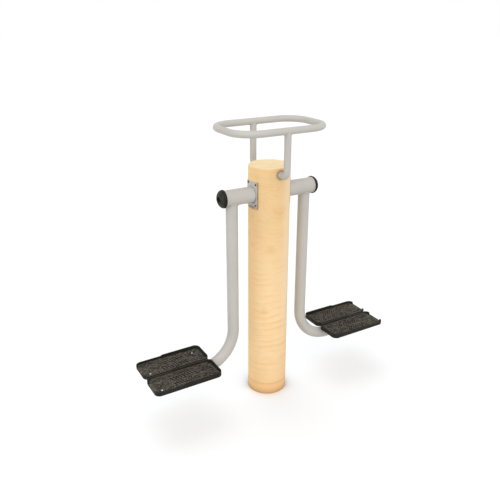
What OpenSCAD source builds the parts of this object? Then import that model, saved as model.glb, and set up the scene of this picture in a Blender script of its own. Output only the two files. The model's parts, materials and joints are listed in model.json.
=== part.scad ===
// Outdoor ab trainer: a turned timber post with a looped handle on top and two
// pendulum arms that swing sideways, each with a pair of foot trays.
// Millimetres. Z is up, X runs along the pivot shaft, the origin is on the
// ground at the centre of the post.

/* [Post] */
// Diameter of the turned timber post
post_d = 200; // [185:1:220]
// Height of the post above the ground
post_h = 1214; // [1190:1:1300]
// Rounding of the post's top edge
post_round = 6; // [2:1:12]

/* [Handle] */
// Height of the handle loop's tube centre above the post's top
handle_rise = 175; // [130:1:240]
// Outer diameter of the handle tube
handle_d = 32; // [28:1:36]
// Wall of the handle tube
handle_wall = 2.5; // [1.5:0.5:4]
// Length of the loop between its tube centres
loop_l = 475; // [420:1:540]
// Width of the loop between its tube centres, which is also the spacing of the two bars
loop_w = 299; // [285:1:330]
// Radius of the loop's corners at the tube centre
loop_r = 104; // [80:1:125]
// Depth of the bars' feet below the post's top
bar_drop = 32; // [24:1:50]
// Radius of the elbow at each bar's foot, at the tube centre
elbow_r = 28; // [22:1:34]
// Length of the spigot that joins the two bars inside the post
spigot_l = 120; // [80:1:160]

/* [Flanges] */
// Width of the flange plate
flange_w = 85; // [80:1:95]
// Height of the flange plate
flange_h = 125; // [110:1:140]
// Thickness of the flange plate
flange_t = 8; // [6:0.5:12]
// Radius of the flange plate's corners
flange_r = 2.5; // [1:0.5:6]
// Height of the plate's centre above the pivot
flange_rise = 3; // [0:0.5:6]
// Depth of the flat that is milled into the post for the plate
flat_depth = 14; // [13:0.5:17]
// Spacing of the flange screws across the plate
screw_dy = 68; // [60:1:70]
// Spacing of the flange screws up the plate
screw_dz = 100; // [92:1:104]
// Shank diameter of the flange screws
screw_d = 7; // [5:0.5:9]
// Head diameter of the flange screws
screw_head_d = 10; // [10:0.5:13]
// Length of the flange screws' shanks
screw_l = 60; // [40:1:80]

/* [Pivot] */
// Depth of the pivot shaft below the post's top
pivot_drop = 134; // [115:1:170]
// Diameter of the pivot shaft
shaft_d = 30; // [28:0.5:32]
// Outer diameter of the swinging sleeve
sleeve_d = 76; // [74:1:84]
// Length of the swinging sleeve
sleeve_l = 148; // [140:1:170]
// Outer diameter of the ball bearings
bearing_od = 62; // [60:0.5:64]
// Width of the ball bearings
bearing_w = 16; // [13:0.5:18]
// Diameter of the bearing balls
ball_d = 9.5; // [8:0.25:10]
// Number of balls in a bearing
ball_n = 9; // [7:1:9]
// Largest swing to either side, in degrees
swing = 40; // [25:1:45]
// Diameter of the end cap's flange
cap_d = 86; // [84:1:94]
// Length that the end cap stands out of the sleeve
cap_l = 28; // [20:1:32]

/* [Arms] */
// Distance of each arm from the centre of the post
arm_x = 202; // [196:1:206]
// Outer diameter of the arm tube
arm_d = 57; // [50:1:60]
// Wall of the arm tube
arm_wall = 3.5; // [2.5:0.5:5]
// Radius of the arm's bend at the tube centre
arm_bend_r = 184; // [150:1:200]
// Height of the level run's tube centre above the ground
run_h = 211; // [190:1:240]

/* [Foot trays] */
// Distance of the trays' toe ends from the centre of the post
tray_x = 337; // [325:1:350]
// Length of a foot tray
tray_l = 342; // [330:1:380]
// Width of a foot tray
tray_w = 142.5; // [130:0.5:155]
// Gap between the two trays of a pair
tray_gap = 7; // [3:0.5:15]
// Radius of the trays' corners
tray_r = 28; // [20:1:50]
// Thickness of a tray's floor
tray_floor = 6.5; // [5:0.5:9]
// Thickness of the rim
rim_t = 6.5; // [5:0.5:8]
// Height of the rim round the toes
rim_toe_h = 22.5; // [18:0.5:30]
// Height of the rim beside the heel
rim_heel_h = 17.5; // [13:0.5:17.5]
// Length of the low part of the rim, from the heel end
rim_heel_l = 140; // [110:1:170]
// Width of the opening in the rim at the heel end
heel_open = 84; // [60:1:96]
// Depth of the tread grooves
groove_d = 2; // [0.8:0.1:2.5]
// Width of the tread grooves
groove_w = 3; // [2:0.5:4]
// Spacing of the tread grooves
groove_step = 13; // [10:1:18]
// Width of the short slots in the tread
slot_w = 6; // [4:0.5:8]
// Spacing of the slots
slot_step = 15; // [12:1:20]
// Slots in each row
slot_n = 9; // [5:1:9]
// Grooves in the fan at the toe
fan_n = 9; // [5:2:11]
// Distance of the toe screws from the toe end
toe_screw_x = 51; // [44:1:60]
// Spacing of the toe screws across the tray
toe_screw_dy = 60; // [50:1:80]
// Distance of the heel screws from the heel end
heel_screw_x = 40; // [34:1:50]
// Spacing of the heel screws across the tray
heel_screw_dy = 80; // [60:1:90]
// Diameter of the tray screws
tray_screw_d = 6; // [5:0.5:8]
// Width of the crossbars under the trays
crossbar_w = 40; // [30:1:50]
// Thickness of the crossbars under the trays
crossbar_t = 6; // [4:0.5:10]
// Distance from the end of the arm tube to the heel crossbar
run_back = 13; // [8:1:30]
// Length of the tongue that holds the heel crossbar on the tube
tongue_l = 60; // [50:1:80]
// Width of the tongue
tongue_w = 60; // [50:1:70]

/* [Hidden] */
$fn = 64;

// Colours
wood = [0.92, 0.78, 0.58];
coated_steel = [0.76, 0.75, 0.72];
bright_steel = [0.72, 0.72, 0.73];
black_steel = [0.16, 0.16, 0.15];
black_plastic = [0.11, 0.11, 0.10];
dark_plastic = [0.27, 0.26, 0.24];
rubber = [0.08, 0.08, 0.08];

// Clearances: a slip fit, a welded or bolted seat, and a gap between turning faces
slip = 0.05;
seat = 0.1;
run_gap = 0.3;
// Overshoot of a cutting solid past the face that it cuts
over = 1;

// Post and handle
post_r = post_d / 2;
handle_h = post_h + handle_rise;
handle_r = handle_d / 2;
handle_bore_r = handle_r - handle_wall;
bar_y = loop_w / 2;
bar_foot_h = post_h - bar_drop;
bar_end_y = 1;
vent_r = 5;

// Flanges, from the post outwards along X
pivot_h = post_h - pivot_drop;
flat_x = post_r - flat_depth;
flange_face_x = flat_x + flange_t;
flange_h0 = pivot_h + flange_rise;
boss_wall = 5;
boss_r = shaft_d / 2 + boss_wall;
boss_step_w = 4;
boss_step_r = sleeve_d / 2 + boss_step_w;
boss_step_t = 1.5;
sleeve_gap = 1;
sleeve_in_x = flange_face_x + boss_step_t + sleeve_gap;
sleeve_out_x = sleeve_in_x + sleeve_l;
screw_head_h = 2.5;
screw_room = 0.4;
screw_hole_r = screw_d / 2 + screw_room;
socket_af = 4;
socket_h = 1.4;
pilot_r = screw_d / 2 + slip;

// Inside the sleeve, from the post outwards along X
seal_t = 3;
seal_inset = 0.5;
seal_x = sleeve_in_x + seal_inset;
stop_x = seal_x + seal_t + run_gap;
stop_w = 8;
bearing_in_x = stop_x + stop_w + run_gap;
end_room = 21;
bearing_out_x = sleeve_out_x - end_room - bearing_w;
seat_r = bearing_od / 2 + slip / 2;
shoulder_h = 3;
shoulder_r = seat_r - shoulder_h;
ring_groove_w = 2;
ring_groove_h = 1.5;
ring_x = bearing_out_x + bearing_w + seat;
ring_groove_r = seat_r + ring_groove_h;
pitch_r = (shaft_d + bearing_od) / 4;
race_room = 0.08;
race_r = ball_d / 2 + race_room;
ring_gap_half = ball_d * 0.28;
inner_ring_r = pitch_r - ring_gap_half;
outer_ring_r = pitch_r + ring_gap_half;
washer_t = 3;
washer_lip = 1;
washer_r = inner_ring_r + washer_lip;
nut_h = 11;
nut_af = 36;
thread_step = 3;
thread_r = shaft_d / 2 - thread_step;
shaft_tip = 2;
shaft_end_x = bearing_out_x + bearing_w + washer_t + nut_h + shaft_tip;

// Stops: the fixed key meets a rubber pad at either end of the swing
key_half = 18;
stop_slack = 1;
pad_angle = 9;
pad_gap = 0.3;
stop_out_r = seat_r - slip;
stop_room = 2;
stop_in_r = boss_r + stop_room;
key_out_r = stop_out_r - stop_room;
pad_start = key_half + swing + stop_slack;

// Arms
arm_r = arm_d / 2;
bend_x = arm_x + arm_bend_r;
bend_h = run_h + arm_bend_r;
heel_bar_x = tray_x + tray_l - heel_screw_x;
toe_bar_x = tray_x + toe_screw_x;
heel_bar_in_x = heel_bar_x - crossbar_w / 2;
run_end_x = heel_bar_in_x - run_back;
tray_h0 = run_h + arm_r + crossbar_t;
tray_y = (tray_gap + tray_w) / 2;
saddle_h = 12;
saddle_wall = 4;
saddle_inset = 5;
crossbar_end = 10;
crossbar_r = 5;
nut_room = 1.2;
tray_hole_r = tray_screw_d / 2 + seat;
tray_head_r = tray_screw_d * 0.85;
tray_head_h = 3.3;
land_r = tray_head_r + 2.5;
tray_nut_h = 5;
tray_nut_af = 10;
tray_in_l = tray_l - 2 * rim_t;
tray_in_w = tray_w - 2 * rim_t;
tray_in_r = tray_r - rim_t;
tread_x0 = 84;
tread_x1 = tray_l - 26;
band_y = 24;
band_w = 26;

// General shapes

// Turns a shape that stands on Z so that it lies along X, with its own X along the width
module along_x() rotate([90, 0, 90]) children();

// Places a shape at a point of the pivot axis
module on_pivot(x) translate([x, 0, pivot_h]) along_x() children();

// The left side is the mirror image of the right one
module left() mirror([1, 0, 0]) children();

// A ring or tube about Z
module ring(r_in, r_out, h) {
    difference() {
        cylinder(r = r_out, h = h);
        translate([0, 0, -over]) cylinder(r = r_in, h = h + 2 * over);
    }
}

// Part of a ring about Z, from one angle to another
module sector(r_in, r_out, h, a0, a1) {
    rotate([0, 0, a0])
        rotate_extrude(angle = a1 - a0)
            translate([r_in, 0]) square([r_out - r_in, h]);
}

// A quarter of a bent rod: it starts along Z at the origin and leaves along X
module bend(r_bend, r) {
    translate([r_bend, 0, 0])
        rotate([90, 0, 180])
            rotate_extrude(angle = 90) translate([r_bend, 0]) circle(r = r);
}

// A hexagon by its width across flats
module hexagon(af) circle(d = af / cos(30), $fn = 6);

// A rectangle with round corners, from the origin along X and centred on Y
module round_rect(l, w, r) {
    translate([r, -w / 2]) square([l - 2 * r, w]);
    translate([0, r - w / 2]) square([l, w - 2 * r]);
    for (x = [r, l - r], y = [r - w / 2, w / 2 - r])
        translate([x, y]) circle(r = r);
}

// Post

module post_blank() {
    rotate_extrude($fn = 96) {
        square([post_r, post_h - post_round]);
        square([post_r - post_round, post_h]);
        intersection() {
            translate([post_r - post_round, post_h - post_round]) circle(r = post_round);
            square([post_r, post_h]);
        }
    }
}

module flange_pocket() {
    gap = 0.5;
    translate([flat_x, -post_r, flange_h0 - flange_h / 2 - gap])
        cube([flat_depth + over, post_d, flange_h + 2 * gap]);
    at_flange_screws(flat_x - screw_l) cylinder(r = pilot_r, h = screw_l + over);
}

// Repeats a shape at the four flange screws, lying along X from the given place
module at_flange_screws(x) {
    for (y = [-1, 1], z = [-1, 1])
        translate([x, y * screw_dy / 2, flange_h0 + z * screw_dz / 2])
            along_x() children();
}

module post() {
    color(wood) difference() {
        post_blank();
        flange_pocket();
        left() flange_pocket();
        on_pivot(-post_r) cylinder(r = shaft_d / 2 + seat, h = post_d);
        translate([0, post_r, bar_foot_h])
            rotate([90, 0, 0]) cylinder(r = handle_r + seat, h = post_d);
    }
}

// Handle

// Half of the loop's centre line is straight sides and quarter bends of one radius
module loop_tube(r) {
    dx = loop_l / 2 - loop_r;
    dy = loop_w / 2 - loop_r;
    for (s = [-1, 1]) {
        translate([-dx, s * loop_w / 2, 0]) rotate([0, 90, 0]) cylinder(r = r, h = 2 * dx);
        translate([s * loop_l / 2, dy, 0]) rotate([90, 0, 0]) cylinder(r = r, h = 2 * dy);
        for (t = [-1, 1])
            translate([s * dx, t * dy, 0])
                rotate([0, 0, s > 0 ? (t > 0 ? 0 : 270) : (t > 0 ? 90 : 180)])
                    rotate_extrude(angle = 90) translate([loop_r, 0]) circle(r = r, $fn = 48);
    }
}

module handle_loop() {
    color(coated_steel) translate([0, 0, handle_h]) difference() {
        loop_tube(handle_r);
        loop_tube(handle_bore_r);
        for (s = [-1, 1])
            translate([0, s * bar_y, -handle_r - over]) cylinder(r = vent_r, h = handle_r);
    }
}

// A handle bar's path as a solid rod: down from the loop, round a tight elbow and into the post
module bar_rod(r, end_y) {
    translate([0, -bar_y, bar_foot_h + elbow_r]) {
        cylinder(r = r, h = handle_h - bar_foot_h - elbow_r);
        rotate([0, 0, 90]) mirror([0, 0, 1]) bend(elbow_r, r);
    }
    translate([0, elbow_r - bar_y, bar_foot_h])
        rotate([-90, 0, 0]) cylinder(r = r, h = bar_y - elbow_r - end_y);
}

// The bar nearest the viewer, cut to the loop's round underside
module handle_bar() {
    color(coated_steel) difference() {
        bar_rod(handle_r, bar_end_y);
        bar_rod(handle_bore_r, bar_end_y - over);
        translate([-loop_l / 2, -bar_y, handle_h])
            rotate([0, 90, 0]) cylinder(r = handle_r + seat, h = loop_l);
    }
}

module front_handle_bar() handle_bar();
module rear_handle_bar() mirror([0, 1, 0]) handle_bar();

module handle_spigot() {
    color(bright_steel) translate([0, spigot_l / 2, bar_foot_h])
        rotate([90, 0, 0]) cylinder(r = handle_bore_r - seat, h = spigot_l);
}

// Flanges

module flange() {
    color(coated_steel) difference() {
        union() {
            translate([flat_x + seat, 0, flange_h0 - flange_h / 2])
                rotate([0, -90, 0]) mirror([0, 0, 1])
                    linear_extrude(flange_t - seat) round_rect(flange_h, flange_w, flange_r);
            on_pivot(flange_face_x) cylinder(r = boss_step_r, h = boss_step_t);
            on_pivot(flange_face_x) cylinder(r = boss_r, h = bearing_in_x - seat / 2 - flange_face_x);
        }
        on_pivot(flat_x - over) cylinder(r = shaft_d / 2 + slip, h = sleeve_l);
        at_flange_screws(flat_x - over) cylinder(r = screw_hole_r, h = flange_t + 2 * over);
    }
}

module flange_screws() {
    tip_room = 2;
    color(black_steel) at_flange_screws(flange_face_x + slip) {
        translate([0, 0, tip_room - screw_l - flange_t])
            cylinder(r = screw_d / 2, h = screw_l + flange_t - tip_room);
        difference() {
            cylinder(r = screw_head_d / 2, h = screw_head_h);
            translate([0, 0, screw_head_h - socket_h]) linear_extrude(screw_head_h) hexagon(socket_af);
        }
    }
}

// Pivot

module pivot_shaft() {
    thread_x = bearing_out_x + bearing_w;
    color(bright_steel) {
        on_pivot(-thread_x) cylinder(r = shaft_d / 2, h = 2 * thread_x);
        on_pivot(-shaft_end_x) cylinder(r = thread_r, h = 2 * shaft_end_x);
    }
}

module stop_key() {
    color(bright_steel) on_pivot(stop_x)
        sector(boss_r + seat / 2, key_out_r, stop_w, 90 - key_half, 90 + key_half);
}

module inner_ring(x) {
    color(bright_steel) on_pivot(x) rotate_extrude() difference() {
        translate([shaft_d / 2 + slip / 2, 0]) square([inner_ring_r - shaft_d / 2 - slip / 2, bearing_w]);
        translate([pitch_r, bearing_w / 2]) circle(r = race_r);
    }
}

module outer_ring(x) {
    color(bright_steel) on_pivot(x) rotate_extrude() difference() {
        translate([outer_ring_r, 0]) square([bearing_od / 2 - outer_ring_r, bearing_w]);
        translate([pitch_r, bearing_w / 2]) circle(r = race_r);
    }
}

module balls(x) {
    color(bright_steel) on_pivot(x + bearing_w / 2)
        for (i = [0 : ball_n - 1])
            rotate([0, 0, 360 * i / ball_n]) translate([pitch_r, 0, 0]) sphere(d = ball_d, $fn = 24);
}

module spacer() {
    wall = 3;
    x0 = bearing_in_x + bearing_w + seat;
    color(bright_steel) on_pivot(x0)
        ring(shaft_d / 2 + slip, shaft_d / 2 + wall, bearing_out_x - seat - x0);
}

module shaft_washer() {
    color(bright_steel) on_pivot(bearing_out_x + bearing_w + slip)
        ring(thread_r + slip, washer_r, washer_t - 2 * slip);
}

module shaft_nut() {
    color(bright_steel) on_pivot(bearing_out_x + bearing_w + washer_t) difference() {
        linear_extrude(nut_h) hexagon(nut_af);
        translate([0, 0, -over]) cylinder(r = thread_r + slip, h = nut_h + 2 * over);
    }
}

// The sleeve is a thick tube with a bearing seat bored in each end and a collar at its outer edge
module sleeve() {
    collar_l = 9;
    collar_h = 1.5;
    collar_r = sleeve_d / 2 + collar_h;
    color(coated_steel) on_pivot(sleeve_in_x) rotate_extrude() difference() {
        union() {
            square([sleeve_d / 2, sleeve_l]);
            translate([0, sleeve_l - collar_l]) square([collar_r, collar_l]);
        }
        translate([0, -over]) square([shoulder_r, sleeve_l + 2 * over]);
        translate([0, -over]) square([seat_r, bearing_in_x + bearing_w - sleeve_in_x + over]);
        translate([0, bearing_out_x - sleeve_in_x]) square([seat_r, sleeve_l]);
        translate([0, ring_x - sleeve_in_x]) square([ring_groove_r, ring_groove_w]);
    }
}

module seal() {
    color(rubber) on_pivot(seal_x) ring(boss_r + run_gap, stop_out_r, seal_t);
}

module stop_ring() {
    a = pad_start + pad_angle;
    color(bright_steel) on_pivot(stop_x)
        sector(stop_in_r, stop_out_r, stop_w, 90 + a, 450 - a);
}

module stop_pads() {
    color(rubber) on_pivot(stop_x)
        for (m = [0, 1])
            mirror([m, 0, 0])
                sector(stop_in_r, stop_out_r, stop_w, 90 + pad_start, 90 + pad_start + pad_angle - pad_gap);
}

module retaining_ring() {
    gap_half = 20;
    color(bright_steel) on_pivot(ring_x + seat / 2)
        sector(shoulder_r, ring_groove_r - seat, ring_groove_w - seat, 270 + gap_half, 630 - gap_half);
}

// A plug with a domed face: concentric grooves round a shallow dish
module end_cap() {
    plug_l = 9;
    plug_r = seat_r - slip;
    plug_wall = 3;
    flange_l = 4;
    flange_edge = 1;
    dome_r = cap_d / 2 - flange_edge;
    dome_l = cap_l - flange_l;
    dish_r = 7.5;
    dish_depth = 2;
    groove_r = 3.2;
    groove_at = [14, 23, 32];
    color(black_plastic) on_pivot(sleeve_out_x + slip) rotate_extrude() difference() {
        union() {
            translate([0, -plug_l]) square([plug_r, plug_l + flange_l]);
            square([cap_d / 2, flange_l]);
            intersection() {
                translate([0, flange_l]) scale([1, dome_l / dome_r]) circle(r = dome_r);
                translate([0, flange_l]) square([cap_d, cap_l]);
            }
        }
        translate([0, -plug_l - over]) square([plug_r - plug_wall, plug_l + over]);
        translate([-dish_r, cap_l - dish_depth]) square([2 * dish_r, cap_l]);
        for (r = groove_at) {
            face_h = flange_l + dome_l * sqrt(1 - pow(r / dome_r, 2));
            translate([r, face_h + groove_r / 2]) circle(r = groove_r);
        }
    }
}

// Arms

// The arm's path as a solid rod: down from the pivot, round the bend and out under the trays
module arm_rod(r, end_x) {
    translate([arm_x, 0, bend_h]) {
        cylinder(r = r, h = pivot_h - bend_h);
        mirror([0, 0, 1]) bend(arm_bend_r, r);
    }
    translate([bend_x, 0, run_h]) along_x() cylinder(r = r, h = end_x - bend_x);
}

// The arm is a tube whose top is cut to the sleeve's round underside
module arm() {
    color(coated_steel) difference() {
        arm_rod(arm_r, run_end_x);
        arm_rod(arm_r - arm_wall, run_end_x + over);
        on_pivot(sleeve_in_x) cylinder(r = sleeve_d / 2 + seat, h = sleeve_l);
    }
}

module arm_plug() {
    head_t = 4;
    plug_l = 18;
    plug_wall = 3;
    color(black_plastic) translate([run_end_x + seat, 0, run_h]) along_x() {
        cylinder(r = arm_r, h = head_t);
        translate([0, 0, -plug_l]) ring(arm_r - arm_wall - plug_wall, arm_r - arm_wall - seat, plug_l);
    }
}

// A flat bar across the arm under one row of tray screws
module crossbar_plate(x, screw_spread) {
    half = tray_y + screw_spread / 2 + crossbar_end;
    translate([x - crossbar_w / 2, 0, run_h + arm_r])
        linear_extrude(crossbar_t - seat) round_rect(crossbar_w, 2 * half, crossbar_r);
}

// The block that a crossbar rests on, from one place along the tube to another
module saddle(x0, x1, half) {
    translate([x0, -half, run_h + arm_r - saddle_h])
        cube([x1 - x0, 2 * half, saddle_h + over]);
}

// What is cut from a crossbar: the tube's seat and the screw holes
module crossbar_cuts(x, screw_spread) {
    arm_rod(arm_r + seat, run_end_x + crossbar_w);
    for (s = [-1, 1], t = [-1, 1])
        translate([x, s * tray_y + t * screw_spread / 2, run_h])
            cylinder(r = tray_hole_r, h = arm_r + crossbar_t + over);
}

// The toe crossbar lies on the tube, on a saddle that clears the inner nuts
module toe_crossbar() {
    nut_edge = tray_y - toe_screw_dy / 2 - tray_nut_af / 2 / cos(30) - nut_room;
    reach = crossbar_w / 2 - saddle_inset;
    color(coated_steel) difference() {
        union() {
            crossbar_plate(toe_bar_x, toe_screw_dy);
            saddle(toe_bar_x - reach, toe_bar_x + reach, min(arm_r + saddle_wall, nut_edge));
        }
        crossbar_cuts(toe_bar_x, toe_screw_dy);
    }
}

// The heel crossbar lies past the tube's end, on a tongue that reaches back over the tube
module heel_crossbar() {
    tongue_x = heel_bar_in_x - tongue_l;
    color(coated_steel) difference() {
        union() {
            crossbar_plate(heel_bar_x, heel_screw_dy);
            translate([tongue_x, 0, run_h + arm_r])
                linear_extrude(crossbar_t - seat) round_rect(tongue_l + crossbar_w / 2, tongue_w, crossbar_r);
            saddle(tongue_x + saddle_inset, run_end_x - saddle_inset, tongue_w / 2);
        }
        crossbar_cuts(heel_bar_x, heel_screw_dy);
    }
}

// Foot trays

// Repeats a shape at the four screws of one tray, in the tray's own frame
module at_tray_screws() {
    for (t = [-1, 1]) {
        translate([toe_screw_x, t * toe_screw_dy / 2, 0]) children();
        translate([tray_l - heel_screw_x, t * heel_screw_dy / 2, 0]) children();
    }
}

// The rim's side view: high round the toes, a short slope, then low to the heel
module rim_profile() {
    step = tray_l - rim_heel_l;
    slope = 6;
    polygon([
        [-over, -over], [tray_l + over, -over], [tray_l + over, rim_heel_h],
        [step + slope, rim_heel_h], [step - slope, rim_toe_h], [-over, rim_toe_h]
    ]);
}

module tray_rim() {
    chamfer = 8;
    difference() {
        intersection() {
            linear_extrude(rim_toe_h) difference() {
                round_rect(tray_l, tray_w, tray_r);
                translate([rim_t, 0]) round_rect(tray_in_l, tray_in_w, tray_in_r);
            }
            translate([0, tray_w / 2 + over, 0])
                rotate([90, 0, 0]) linear_extrude(tray_w + 2 * over) rim_profile();
        }
        translate([tray_l - tray_r, 0, tray_floor]) rotate([90, 0, 90]) linear_extrude(tray_r + over)
            polygon([
                [-heel_open / 2, 0], [heel_open / 2, 0],
                [heel_open / 2 + chamfer, rim_toe_h], [-heel_open / 2 - chamfer, rim_toe_h]
            ]);
    }
}

// Grooves that fan out towards the toe end from a point on the tray's centre line
module toe_fan() {
    fan_x = 92;
    fan_in_r = 30;
    fan_out_r = 74;
    fan_angle = 128;
    for (i = [0 : fan_n - 1])
        translate([fan_x, 0])
            rotate([0, 0, 180 + fan_angle * (i / (fan_n - 1) - 0.5)])
                translate([fan_in_r, -groove_w / 2]) square([fan_out_r - fan_in_r, groove_w]);
}

// The plain band on each side of the tray's centre line that the slots lie in
module slot_bands() {
    for (s = [-1, 1])
        translate([0, s * band_y - band_w / 2]) square([tray_l, band_w]);
}

// Chevron grooves from the fan to the heel, broken by the plain bands
module chevrons() {
    slant = 24;
    y0 = 4;
    y1 = tray_in_w / 2 - 8;
    rows = floor((tread_x1 - tread_x0 - slant) / groove_step);
    difference() {
        for (i = [0 : rows], s = [-1, 1]) {
            x = tread_x0 + i * groove_step;
            polygon([
                [x, s * y0], [x + groove_w, s * y0],
                [x + slant + groove_w, s * y1], [x + slant, s * y1]
            ]);
        }
        slot_bands();
    }
}

// A row of short wide slots in each plain band, all leaning the same way
module slots() {
    half_l = 10;
    lean = 5;
    x0 = tread_x0 + 24;
    for (i = [0 : slot_n - 1], s = [-1, 1])
        translate([x0 + i * slot_step, s * band_y])
            polygon([
                [-slot_w / 2 - lean, -half_l], [slot_w / 2 - lean, -half_l],
                [slot_w / 2 + lean, half_l], [-slot_w / 2 + lean, half_l]
            ]);
}

// The tread is moulded into the floor and leaves a plain land round each screw
module tread() {
    edge = 4;
    translate([0, 0, tray_floor - groove_d]) linear_extrude(groove_d + over) difference() {
        intersection() {
            union() {
                toe_fan();
                chevrons();
                slots();
            }
            translate([rim_t + edge, 0]) round_rect(tray_in_l - 2 * edge, tray_in_w - 2 * edge, tray_in_r);
        }
        at_tray_screws() circle(r = land_r);
    }
}

// Shallow pockets under the floor leave ribs, with full lands over the crossbars
module underside_pockets() {
    depth = 2.5;
    rib = 5;
    x0 = toe_screw_x + crossbar_w / 2 + rib;
    x1 = tray_l - heel_screw_x - crossbar_w / 2 - rib;
    n = 3;
    len = (x1 - x0 - (n - 1) * rib) / n;
    wid = (tray_in_w - rib) / 2;
    for (i = [0 : n - 1], s = [0, 1])
        translate([x0 + i * (len + rib), s == 0 ? rib / 2 : -rib / 2 - wid, -over])
            cube([len, wid, depth + over]);
}

module tray() {
    color(dark_plastic) difference() {
        union() {
            linear_extrude(tray_floor) round_rect(tray_l, tray_w, tray_r);
            tray_rim();
        }
        tread();
        underside_pockets();
        at_tray_screws() translate([0, 0, -over]) cylinder(r = tray_hole_r, h = tray_floor + 2 * over);
    }
}

// Places a tray of the right-hand pair: -1 is the front one, 1 the rear one
module at_tray(s) translate([tray_x, s * tray_y, tray_h0]) children();

module tray_screws() {
    tip = 3;
    shank = tray_floor + crossbar_t + tray_nut_h + tip;
    dome_r = tray_head_r * 1.25;
    color(bright_steel) for (s = [-1, 1])
        at_tray(s) at_tray_screws() translate([0, 0, tray_floor + slip]) {
            translate([0, 0, -shank]) cylinder(r = tray_screw_d / 2, h = shank, $fn = 24);
            intersection() {
                cylinder(r = tray_head_r, h = tray_head_h, $fn = 24);
                translate([0, 0, tray_head_h - dome_r]) sphere(r = dome_r, $fn = 24);
            }
        }
}

module tray_nuts() {
    bore_r = tray_screw_d / 2 + slip;
    color(bright_steel) for (s = [-1, 1])
        at_tray(s) at_tray_screws() translate([0, 0, -crossbar_t - seat - tray_nut_h]) difference() {
            linear_extrude(tray_nut_h) hexagon(tray_nut_af);
            translate([0, 0, -over]) cylinder(r = bore_r, h = tray_nut_h + 2 * over, $fn = 24);
        }
}

// Right-hand pieces, and their mirror images on the left

module right_flange() flange();
module right_flange_screws() flange_screws();
module right_stop_key() stop_key();
module right_spacer() spacer();
module right_shaft_washer() shaft_washer();
module right_shaft_nut() shaft_nut();
module right_inboard_inner_ring() inner_ring(bearing_in_x);
module right_outboard_inner_ring() inner_ring(bearing_out_x);
module right_sleeve() sleeve();
module right_inboard_outer_ring() outer_ring(bearing_in_x);
module right_outboard_outer_ring() outer_ring(bearing_out_x);
module right_inboard_balls() balls(bearing_in_x);
module right_outboard_balls() balls(bearing_out_x);
module right_seal() seal();
module right_stop_ring() stop_ring();
module right_stop_pads() stop_pads();
module right_retaining_ring() retaining_ring();
module right_end_cap() end_cap();
module right_arm() arm();
module right_arm_plug() arm_plug();
module right_toe_crossbar() toe_crossbar();
module right_heel_crossbar() heel_crossbar();
module right_front_tray() at_tray(-1) tray();
module right_rear_tray() at_tray(1) tray();
module right_tray_screws() tray_screws();
module right_tray_nuts() tray_nuts();

module left_flange() left() flange();
module left_flange_screws() left() flange_screws();
module left_stop_key() left() stop_key();
module left_spacer() left() spacer();
module left_shaft_washer() left() shaft_washer();
module left_shaft_nut() left() shaft_nut();
module left_inboard_inner_ring() left() inner_ring(bearing_in_x);
module left_outboard_inner_ring() left() inner_ring(bearing_out_x);
module left_sleeve() left() sleeve();
module left_inboard_outer_ring() left() outer_ring(bearing_in_x);
module left_outboard_outer_ring() left() outer_ring(bearing_out_x);
module left_inboard_balls() left() balls(bearing_in_x);
module left_outboard_balls() left() balls(bearing_out_x);
module left_seal() left() seal();
module left_stop_ring() left() stop_ring();
module left_stop_pads() left() stop_pads();
module left_retaining_ring() left() retaining_ring();
module left_end_cap() left() end_cap();
module left_arm() left() arm();
module left_arm_plug() left() arm_plug();
module left_toe_crossbar() left() toe_crossbar();
module left_heel_crossbar() left() heel_crossbar();
module left_front_tray() left() at_tray(-1) tray();
module left_rear_tray() left() at_tray(1) tray();
module left_tray_screws() left() tray_screws();
module left_tray_nuts() left() tray_nuts();

post();
pivot_shaft();
handle_loop();
front_handle_bar();
rear_handle_bar();
handle_spigot();
left_flange();
left_flange_screws();
left_stop_key();
left_spacer();
left_shaft_washer();
left_shaft_nut();
left_inboard_inner_ring();
left_outboard_inner_ring();
left_sleeve();
left_inboard_outer_ring();
left_outboard_outer_ring();
left_inboard_balls();
left_outboard_balls();
left_seal();
left_stop_ring();
left_stop_pads();
left_retaining_ring();
left_end_cap();
left_arm();
left_arm_plug();
left_toe_crossbar();
left_heel_crossbar();
left_front_tray();
left_rear_tray();
left_tray_screws();
left_tray_nuts();
right_flange();
right_flange_screws();
right_stop_key();
right_spacer();
right_shaft_washer();
right_shaft_nut();
right_inboard_inner_ring();
right_outboard_inner_ring();
right_sleeve();
right_inboard_outer_ring();
right_outboard_outer_ring();
right_inboard_balls();
right_outboard_balls();
right_seal();
right_stop_ring();
right_stop_pads();
right_retaining_ring();
right_end_cap();
right_arm();
right_arm_plug();
right_toe_crossbar();
right_heel_crossbar();
right_front_tray();
right_rear_tray();
right_tray_screws();
right_tray_nuts();
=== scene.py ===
import json
import math

import bmesh
import bpy
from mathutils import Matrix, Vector


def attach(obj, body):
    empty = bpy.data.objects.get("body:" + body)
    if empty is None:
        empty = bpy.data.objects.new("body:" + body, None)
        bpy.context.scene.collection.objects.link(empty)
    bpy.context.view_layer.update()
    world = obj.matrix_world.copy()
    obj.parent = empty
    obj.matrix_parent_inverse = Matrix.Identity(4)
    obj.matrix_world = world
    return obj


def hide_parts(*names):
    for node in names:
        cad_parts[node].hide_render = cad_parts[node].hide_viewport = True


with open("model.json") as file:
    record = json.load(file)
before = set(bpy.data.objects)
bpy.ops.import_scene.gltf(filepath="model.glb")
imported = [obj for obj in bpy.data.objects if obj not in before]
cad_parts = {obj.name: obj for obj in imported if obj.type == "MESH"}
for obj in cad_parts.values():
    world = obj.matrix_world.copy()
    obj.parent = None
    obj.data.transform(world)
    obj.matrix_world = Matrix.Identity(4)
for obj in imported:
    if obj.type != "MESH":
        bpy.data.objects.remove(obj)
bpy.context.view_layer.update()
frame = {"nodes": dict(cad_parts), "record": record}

nodes = frame["nodes"]
SIDES = {"left": -1, "right": 1}
ROWS = {"front": -1, "rear": 1}

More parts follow.
